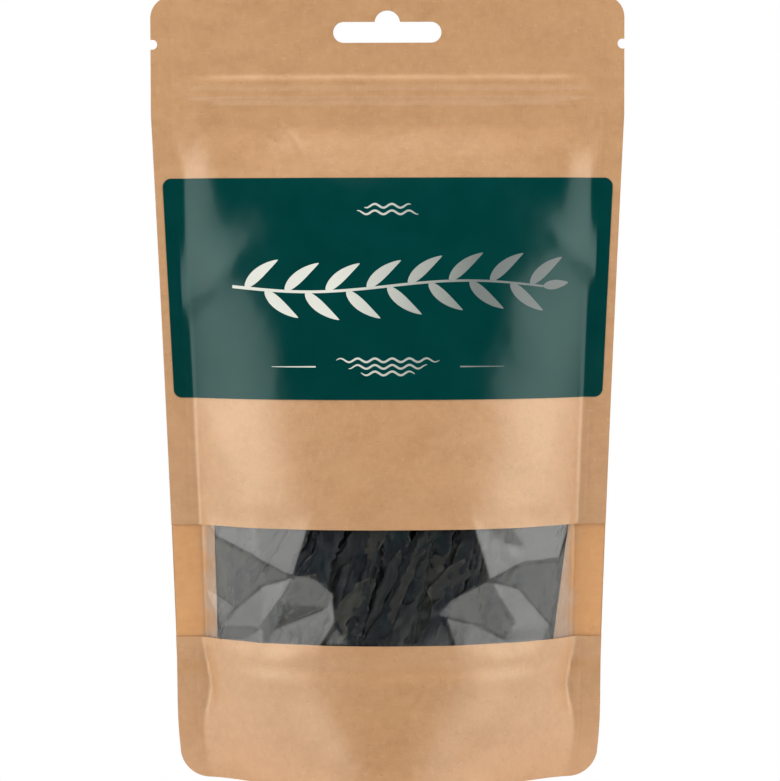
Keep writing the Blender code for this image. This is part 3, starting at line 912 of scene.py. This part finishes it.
def make_zip(plastic):
    """The two strips of the zip, pressed shut between the webs and thinner towards their ends."""
    middle = (ZIP_LOW + ZIP_HIGH) / 2
    wall, half, end = 0.62 * MM, 2.6 * MM, 57 * MM
    groove = [(-wall, -half), (-0.35 * MM, -half), (-0.35 * MM, -1.1 * MM), (0.3 * MM, -1.1 * MM)]
    groove += [(0.3 * MM, -0.6 * MM), (-0.2 * MM, -0.6 * MM)]
    tongue = [(wall, -half), (0.4 * MM, -half), (0.4 * MM, -0.3 * MM), (-0.15 * MM, -0.35 * MM)]
    for node, lower in (("zip_groove_strip", groove), ("zip_rib_strip", tongue)):
        profile = lower + [(y, -z) for y, z in lower[::-1]]
        rings = []
        for x in np.linspace(-end, end, 39):
            thin = 1 - 0.75 * float(ease(40 * MM, end, abs(x)))
            rings.append([(x, y * thin, z + middle) for y, z in profile])
        settle(add_tubes(node + "_fine", [rings], plastic), [node], "zip", 30)


def label_outline():
    half = np.array([LABEL_WIDTH / 2])
    top = across(half, LABEL_HIGH)[0] - LABEL_CORNER
    foot = across(half, LABEL_LOW)[0] - LABEL_CORNER
    z_top, z_foot = LABEL_HIGH - LABEL_CORNER, LABEL_LOW + LABEL_CORNER
    outline = []
    for k, (x, z) in enumerate(((top, z_top), (-top, z_top), (-foot, z_foot), (foot, z_foot))):
        outline += arc(x, z, LABEL_CORNER, 90 * k, 90 * k + 90, 10)
    return outline


def make_label(front, label):
    sheet = shell("label_sheet", *front.ply(LABEL_PLY, LABEL_LOW - 4 * MM, LABEL_HIGH + 4 * MM), label)
    die = add_tubes("label_die", [prism(label_outline(), -40 * MM, 0)])
    cut(sheet, die, "INTERSECT")
    bpy.data.objects.remove(die)
    settle(sheet, ["front_label"], "label")


def row_points(x, y, z):
    """A row of points at one height."""
    return np.stack([x, y, np.full_like(x, z)], axis=1)


def base_height(s):
    """Height of the gusset's fold, at the point s of its width."""
    q = np.minimum(np.abs(s) / HALF_INSIDE, 1)
    return RIM + (FOLD - RIM) * q**4


def gusset_path(s):
    """One cross-section of the gusset, front rim to back rim."""
    top = float(base_height(s))
    width = np.array([s])

    def middle(z):
        x = across(width, z)
        return float(wall_depth(x, z)[0]) - GUSSET_GAP - GUSSET / 2

    bend = min(GUSSET_BEND, 0.8 * middle(top))
    crown = GUSSET_CROWN * float(1 - ease(0.5 * HALF_INSIDE, HALF_INSIDE, abs(s)))
    points = [(across(width, z)[0], -middle(z), z) for z in np.linspace(0, top - bend, 9)]
    edge = middle(top - bend)
    x_top = across(width, top)[0]
    x_low = points[-1][0]
    for share in np.linspace(0, 1, 7)[1:]:
        a = math.pi / 2 * share
        y = -edge + (edge - middle(top) + bend) * (1 - math.cos(a))
        points.append((x_low + (x_top - x_low) * share, y, top - bend + bend * math.sin(a)))
    inner = -points[-1][1]
    for share in np.linspace(0, 1, 9)[1:]:
        points.append((x_top, -inner * (1 - share), top + crown * (1 - (1 - share) ** 2)))
    points += [(x, -y, z) for x, y, z in points[-2::-1]]
    return np.array(points)


def make_gusset(punch, kraft):
    widths = mirrored(steps(0, (60, 2.0), (66, 1.0), (70, 2.0)))
    middle = np.array([gusset_path(s) for s in widths])
    x, z = middle[..., 0], middle[..., 2]
    middle[..., 2] += 0.12 * MM * uneven(UNEVEN, x, middle[..., 1] * 1.7) * ease(1 * MM, 4 * MM, z)
    normal = np.cross(np.gradient(middle, axis=0), np.gradient(middle, axis=1))
    normal /= np.linalg.norm(normal, axis=2, keepdims=True) + 1e-12
    faces = middle + normal * 0.1 * MM, middle - normal * 0.1 * MM
    for grid in faces:
        grid[..., 2] = np.maximum(grid[..., 2], 0)
    sheet = shell("gusset_sheet", *faces, kraft)
    cut(sheet, punch)
    settle(sheet, ["bottom_gusset"], "kraft")


# Kelp


def soft_limit(eta):
    """Keeps a share of the room within 1, softly from 0.75 on."""
    start = 0.75
    over = np.maximum(np.abs(eta) - start, 0)
    room = 1 - start
    return np.sign(eta) * (np.minimum(np.abs(eta), start) + room * np.tanh(over / room))


def frond_drift(z):
    """How far the fronds lie to one side at height z, as a share of half the width inside."""
    window = (WINDOW_LOW + WINDOW_HIGH) / 2
    return FROND_DRIFT * math.tanh((z - window) * math.tan(FROND_LEAN) / FROND_DRIFT) / HALF_INSIDE


def wavy_margins(count, dice):
    """Margins between fronds of changing width: each a place as a share, and the pitches of its waves."""
    widths = [dice.uniform(0.75, 1.25) for _ in range(count)]
    margins, place = [], -1.0
    for width in widths + [0]:
        pitches = [(dice.uniform(12, 30) * MM, dice.uniform(0, 6.28)) for _ in range(2)]
        margins.append((place, pitches))
        place += 2 * width / sum(widths)
    return margins


def margin_at(margin, z):
    place, pitches = margin
    return place + sum(MARGIN_WAVE * math.sin(z / pitch + phase) for pitch, phase in pitches)


def frond_taper(t):
    """Share of its lane's width that a frond fills, less towards both ends."""
    return 0.42 + 0.58 * (1 - abs(2 * t - 1) ** 6)


def frond_blade(side, layer, margins, span, cells, dice, extra):
    """The middle surface of one frond, with finer pleats and torn edges over the solid's own form."""
    low, high = span
    cols, rows = cells
    pleats = dice.uniform(1.5, 2.4)
    phase, turn = dice.uniform(0, 6.28), dice.uniform(-5, 5)
    ruffles, ruffle_phase = dice.uniform(5, 8), dice.uniform(0, 6.28)
    limit = layer + FROND_SWING + FROND_HALF_THICKNESS + MIDRIB_RISE + FROND_CLEAR
    fine, fine_phase = extra.uniform(3.2, 4.8), extra.uniform(0, 6.28)
    tears = [waves(extra.random(), 5, 2 * MM, 9 * MM) for _ in range(2)]
    v = np.linspace(-1, 1, cols + 1)
    grid = np.zeros((rows + 1, cols + 1, 3))
    for i in range(rows + 1):
        t = i / rows
        z = low + (high - low) * t
        room = reach(limit, z)
        left = margin_at(margins[0], z) + LANE_GAP
        right = margin_at(margins[1], z) - LANE_GAP
        middle = (left + right) / 2 + frond_drift(z)
        half_width = (right - left) / 2 * frond_taper(t)
        ends = room * soft_limit(middle + half_width * np.array([-1, 1]))
        swing = FROND_SWING * min(1, (ends[1] - ends[0]) / FULL_SWING_WIDTH)
        torn = [1 + 0.07 * float(uneven(tear, z, 0.0)) for tear in tears]
        shape = np.where(v < 0, v * torn[0], v * torn[1])
        x = room * soft_limit(middle + half_width * shape)
        pleat = 0.7 * np.cos(math.pi * pleats * v + phase + turn * t)
        ruffle = 0.3 * v * v * np.sin(2 * math.pi * ruffles * t + ruffle_phase + 2 * v)
        small = 0.17 * (1 - 2 * np.abs(np.sin(math.pi * fine * v + fine_phase + 3 * turn * t)))
        curl = 0.14 * v**4 * np.sin(2 * math.pi * 2.7 * ruffles * t + 5 * v)
        wall = inner_wall(x, z) if side == FRONT else wall_depth(x, z)
        y = wall - layer - swing * (pleat + ruffle + small + curl)
        grid[i] = row_points(x, side * y, z)
    across_blade = np.broadcast_to(np.abs(v), grid.shape[:2])
    half = 0.22 * MM + 0.35 * MM * hump(across_blade, MIDRIB_WIDTH)
    # Where the material paints a highlight: the blade's outer edges, and faintly its midrib
    thin = ease(0.90, 1.0, across_blade) * 0.5 + 0.25 * hump(across_blade, 0.1)
    return grid, half, thin


def scrap(low, length, start_x, lean, width, near, extra):
    """A torn lobe that leaves its frond's depth and comes forward to near, ragged and crinkled."""
    cols, rows = 8, int(np.clip(length / (0.9 * MM), 14, 60))
    v = np.linspace(-1, 1, cols + 1)
    tips = [extra.uniform(0.06, 0.4) for _ in range(2)]
    rags = [waves(extra.random(), 5, 1.8 * MM, 8 * MM) for _ in range(2)]
    crinkles = waves(extra.random(), 8, 2.2 * MM, 7 * MM)
    sway = waves(extra.random(), 3, 15 * MM, 50 * MM)
    slope, hollow = extra.uniform(-0.7, 0.7) * MM, extra.uniform(-0.5, 0.7) * MM
    grid = np.zeros((rows + 1, cols + 1, 3))
    thin = np.zeros((rows + 1, cols + 1))
    for i in range(rows + 1):
        t = i / rows
        z = low + length * t
        body = min(1, (t / tips[0]) ** 0.6, ((1 - t) / tips[1]) ** 0.6) + 0.03
        left, right = (width / 2 * body * (0.84 + 0.2 * float(uneven(rag, z, 0.0))) for rag in rags)
        middle = start_x + length * (t - 0.5) * lean + 0.9 * MM * float(uneven(sway, z, 0.0))
        room = reach(LOBE_DEPTH, z)
        x = room * soft_limit((middle + np.where(v < 0, v * left, v * right)) / room)
        forward = float(ease(0, 0.3, t))
        depth = OUTER_LAYER + (near - OUTER_LAYER) * forward + slope * v + hollow * v * v
        nearest = 0.5 * MM + 1.2 * MM * ease(44 * MM, 49 * MM, np.abs(x))
        depth = np.maximum(depth + 0.34 * MM * uneven(crinkles, x, z), nearest)
        y = np.minimum(depth - inner_wall(x, z), 0.8 * wall_depth(x, z) - 0.4 * MM)
        grid[i] = row_points(x, y, z)
        # Where the material paints a highlight: the lobe's edges and its top end
        thin[i] = np.maximum(ease(0.8, 1.0, np.abs(v)), ease(0.88, 1.0, t))
    half = np.broadcast_to(0.10 * MM + 0.12 * MM * (1 - np.abs(v)), thin.shape)
    return grid, half, thin


def scraps(lane, foot, extra):
    """The torn lobes in front of one outer frond, and how warm they are: set ones, a few long, many short."""
    for x, low, length, lean, width, near, warm in FRONT_LOBES:
        if lane[0] <= x / LANES_WIDTH < lane[1]:
            lean = math.tan(math.radians(lean))
            yield scrap(low * MM, length * MM, x * MM, lean, width * MM, near * MM, extra), warm
    for n in range(14):
        long = n < 3
        length = extra.uniform(*((45, 75) if long else (13, 40))) * MM
        low = foot + extra.uniform(0, 25) * MM if long else extra.uniform(26, 68) * MM
        low = min(low, 148 * MM - length)
        share = (n * 0.618 + 0.3) % 1
        start_x = (lane[0] + (lane[1] - lane[0]) * (share * 1.2 - 0.1)) * LANES_WIDTH * MM
        lean = math.tan(math.radians(extra.uniform(4, 34)))
        width = extra.uniform(3.5, 9.5) * MM
        near = extra.uniform(0.7, 3.9) * MM
        piece = scrap(low, length, start_x, lean, width, near, extra)
        yield piece, extra.choice((0.0, 0.0, 0.05, 0.1, 0.3, 0.6, 0.9))


def add_blade(kelp, middle, half, thin, warm):
    """A blade from a grid of middle points and of half thicknesses along Y."""
    offset = half[..., None] * np.array([0, 1, 0])
    kelp.add(middle - offset, middle + offset, thin=thin, warm=warm)


def make_kelp(material):
    dice = random.Random(FROND_SEED)
    extra = random.Random(LOBE_SEED)
    layers = (
        (FRONT, OUTER_LAYER, 6, 172 * MM, (36, 130)),
        (FRONT, INNER_LAYER, 3, 122 * MM, (20, 60)),
        (BACK, INNER_LAYER, 3, 122 * MM, (16, 50)),
        (BACK, OUTER_LAYER, 4, 168 * MM, (20, 70)),
    )
    number = 0
    for side, layer, count, top, cells in layers:
        margins = wavy_margins(count, dice)
        for pair in zip(margins, margins[1:]):
            number += 1
            lane = [margin[0] for margin in pair]
            outermost = max(abs(place) for place in lane)
            foot = float(base_height(outermost * 0.85 * HALF_INSIDE)) + 3 * MM
            span = (foot + dice.uniform(0, 3) * MM, top - dice.uniform(0, 14) * MM)
            kelp = Sheets()
            blade = frond_blade(side, layer, pair, span, cells, dice, extra)
            add_blade(kelp, *blade, extra.uniform(0.0, 0.25))
            if side == FRONT and layer == OUTER_LAYER:
                for (middle, half, thin), warm in scraps(lane, foot, extra):
                    # Each lobe takes a random share of the painted highlight
                    add_blade(kelp, middle, half, thin * extra.uniform(0.2, 1.0), warm)
            piece = kelp.build(f"blade_{number:02d}", material)
            settle(piece, [f"kelp_frond_{number:02d}"], "kelp", 60)


# Print on the label: a plain sprig between two rows of ripples


class Print(Sheets):
    """Flat strokes laid on the label, drawn on the sheet's own width and height in millimetres."""

    def __init__(self, web):
        super().__init__()
        self.web = web

    def lay(self, u, w, offset):
        """Points of the label at widths u and heights w."""
        web = self.web
        col = np.interp(u * MM, web.s, np.arange(len(web.s)))
        row = np.interp(w * MM, web.z, np.arange(len(web.z)))
        c, r = np.minimum(col.astype(int), len(web.s) - 2), np.minimum(row.astype(int), len(web.z) - 2)
        fc, fr = (col - c)[..., None], (row - r)[..., None]
        field = np.concatenate([web.points, web.normals], axis=2)
        low = field[r, c] * (1 - fc) + field[r, c + 1] * fc
        high = field[r + 1, c] * (1 - fc) + field[r + 1, c + 1] * fc
        point, normal = np.split(low * (1 - fr) + high * fr, 2, axis=-1)
        return point + normal * offset

    def stroke(self, u, w, widths):
        """A stroke of changing width along a line."""
        line = np.stack([u, w], axis=1)
        way = np.gradient(line, axis=0)
        way /= np.linalg.norm(way, axis=1, keepdims=True)
        side = np.stack([-way[:, 1], way[:, 0]], axis=1) * widths[:, None] / 2
        share = np.linspace(0, 1, 4)[:, None]
        flat = (line + side)[:, None, :] * (1 - share) + (line - side)[:, None, :] * share
        self.add(*(self.lay(flat[..., 0], flat[..., 1], offset) for offset in PRINT_PLY))


def leaf(printing, foot, angle, length, width, bend):
    """A long blade with a pointed tip, which bends to one side."""
    t = np.linspace(0, 1, 25)
    turn = math.radians(angle)
    along, aside = length * t, bend * length * t**2
    u = foot[0] + along * math.cos(turn) - aside * math.sin(turn)
    w = foot[1] + along * math.sin(turn) + aside * math.cos(turn)
    printing.stroke(u, w, width * np.sin(math.pi * t**0.75) ** 0.8 + 0.12)


def make_print(front, ink):
    """A wavy stem with leaves on both sides, ripples above and below it, and a rule on each side of them."""
    printing = Print(front)
    middle = (LABEL_LOW + LABEL_HIGH) / 2 / MM
    reach_u = 46
    stem_u = np.linspace(-reach_u, reach_u, 121)

    def stem(u):
        return middle + 0.5 + 1.6 * np.sin(u / 14.5)

    printing.stroke(stem_u, stem(stem_u), 0.9 - 0.3 * (stem_u + reach_u) / (2 * reach_u))
    for k, u in enumerate(np.arange(-42, 43, 6.0)):
        up = 1 if k % 2 == 0 else -1
        leaf(printing, (u, float(stem(u))), 52 * up, 12.5, 3.2, -0.22 * up)
    leaf(printing, (reach_u, float(stem(reach_u))), 8, 8, 2.6, 0.0)
    for rows, start, spread, away in ((3, middle - 21, 15, -1.9), (2, middle + 22, 9, 1.9)):
        for row in range(rows):
            half = spread * (1 - 0.24 * row)
            u = np.linspace(-half, half, 61)
            w = start + away * row + 0.55 * np.sin(u * 2 * math.pi / 5)
            printing.stroke(u, w, 0.62 * np.sqrt(np.clip(1.05 - (u / half) ** 4, 0, 1)))
    for side in (-1, 1):
        u = np.linspace(side * 21, side * 34, 21)
        w = np.full_like(u, middle - 22.9)
        printing.stroke(u, w, 0.42 * np.sqrt(np.clip(np.linspace(1.05, 0.1, 21), 0, 1)))
    settle(printing.build("label_print", ink), [], "label")


# Stage


def add_plane(name, corners, material):
    """A part of the stage that itself isn't seen."""
    obj = add_mesh(name, corners, [(0, 1, 2, 3)], material)
    obj.visible_camera = False


def level(half, near, far, z):
    """Corners of a level plane."""
    return [(-half, near, z), (half, near, z), (half, far, z), (-half, far, z)]


def upright(place, turn, size):
    """Corners of a card that stands upright, turned about Z."""
    x, y, z = place
    dx, dy, dz = size[0] / 2 * math.cos(turn), size[0] / 2 * math.sin(turn), size[1] / 2
    low, high = [(x - dx, y - dy, z - dz), (x + dx, y + dy, z - dz)], [(x + dx, y + dy, z + dz)]
    return low + high + [(x - dx, y - dy, z + dz)]


def add_softbox(name, place, aim, size, radiance):
    """A soft light that itself isn't seen."""
    data = bpy.data.lights.new(name, "AREA")
    data.shape = "RECTANGLE"
    data.size, data.size_y = size
    data.energy = radiance * math.pi * size[0] * size[1]
    obj = add_object(name, data)
    obj.location = place
    obj.rotation_euler = (Vector(aim) - Vector(place)).to_track_quat("-Z", "Y").to_euler()
    obj.visible_camera = False


def add_glow(name, place, turn, size, radiance):
    """An upright glowing card, brightest in its middle, that itself isn't seen."""
    material = bpy.data.materials.new(name)
    material.use_nodes = True
    tree = material.node_tree
    tree.nodes.clear()
    parts = add_node(tree, "SeparateXYZ", {0: add_node(tree, "TexCoord").outputs["Generated"]}).outputs
    falls = []
    for axis, middle, fall in (("X", 1.2, 0.6), ("Z", 1.1, 0.3)):
        away = times(tree, math_node(tree, "SUBTRACT", parts[axis], 0.5), 2.0)
        drop = times(tree, times(tree, away, away), fall)
        falls.append(math_node(tree, "SUBTRACT", middle, drop))
    strength = times(tree, times(tree, *falls), radiance)
    glow = add_node(tree, "Emission", {"Strength": strength})
    output = add_node(tree, "OutputMaterial", {"Surface": glow.outputs[0]})
    output.is_active_output = True
    add_plane(name, upright(place, turn, size), material)


def make_stage():
    """White floor, a grey mat and a black card in front of the pouch, and soft lights."""
    add_plane("floor", level(0.95, -0.95, 0.95, 0), stage_material("white_floor", 0.90, FLOOR_GLOW))
    add_plane("grey_mat", level(0.09, -0.5, -0.04, 0.0005), stage_material("grey_mat", MAT_SHADE))
    add_plane("black_card", upright((0, -1.15, 0.55), 0, (1.22, 1.1)), stage_material("black_card", 0.0))
    for name, sign in (("softbox_left", -1), ("softbox_right", 1)):
        place = (sign * math.sin(GLOW_TURN), -math.cos(GLOW_TURN), 0.61)
        add_glow(name, place, sign * GLOW_TURN, (0.97, 1.2), SOFTBOX_LIGHT)
    add_softbox("softbox_top", (0, -0.25, 1.3), (0, 0, 0.1), (1.0, 0.6), TOP_LIGHT)
    add_softbox("softbox_back", (0, 1.2, 0.6), (0, 0, 0.2), (2.2, 1.2), BACK_LIGHT)


def make_world():
    world = bpy.data.worlds.new("white_studio")
    world.use_nodes = True
    tree = world.node_tree
    background = tree.nodes["Background"]
    background.inputs["Color"].default_value = (1, 1, 1, 1)
    seen = add_node(tree, "LightPath").outputs["Is Camera Ray"]
    tree.links.new(remap(tree, seen, 0, 1, ROOM_LIGHT, 1.0), background.inputs["Strength"])
    bpy.context.scene.world = world
    bpy.context.scene.view_settings.view_transform = "Standard"


def make_camera():
    data = bpy.data.cameras.new("photo_view")
    data.sensor_fit = "HORIZONTAL"
    data.sensor_width = 36
    data.lens = 36 * FOCAL_PIXELS / PHOTO_WIDTH
    camera = add_object("photo_view", data)
    turn = Matrix.Rotation(-CAMERA_YAW, 4, "Z") @ Matrix.Rotation(math.pi / 2 - CAMERA_PITCH, 4, "X")
    camera.matrix_world = Matrix.Translation(CAMERA_PLACE) @ turn @ Matrix.Rotation(CAMERA_ROLL, 4, "Z")
    bpy.context.scene.camera = camera


def main():
    make_world()
    make_camera()
    make_stage()
    kraft, film = kraft_material("kraft_paper"), film_material()
    punch = make_punch()
    front = make_webs(punch, kraft, film)
    # The lining's kraft is lightened as painted light, and takes painted shade on its inner part
    make_linings(kraft_material("kraft_lining_painted_light", 1.26, "painted_shade_set_back"))
    make_gusset(punch, kraft)
    bpy.data.objects.remove(punch)
    make_label(front, label_material())
    make_print(front, print_material())
    make_kelp(kelp_material())
    make_zip(zip_material())


main()
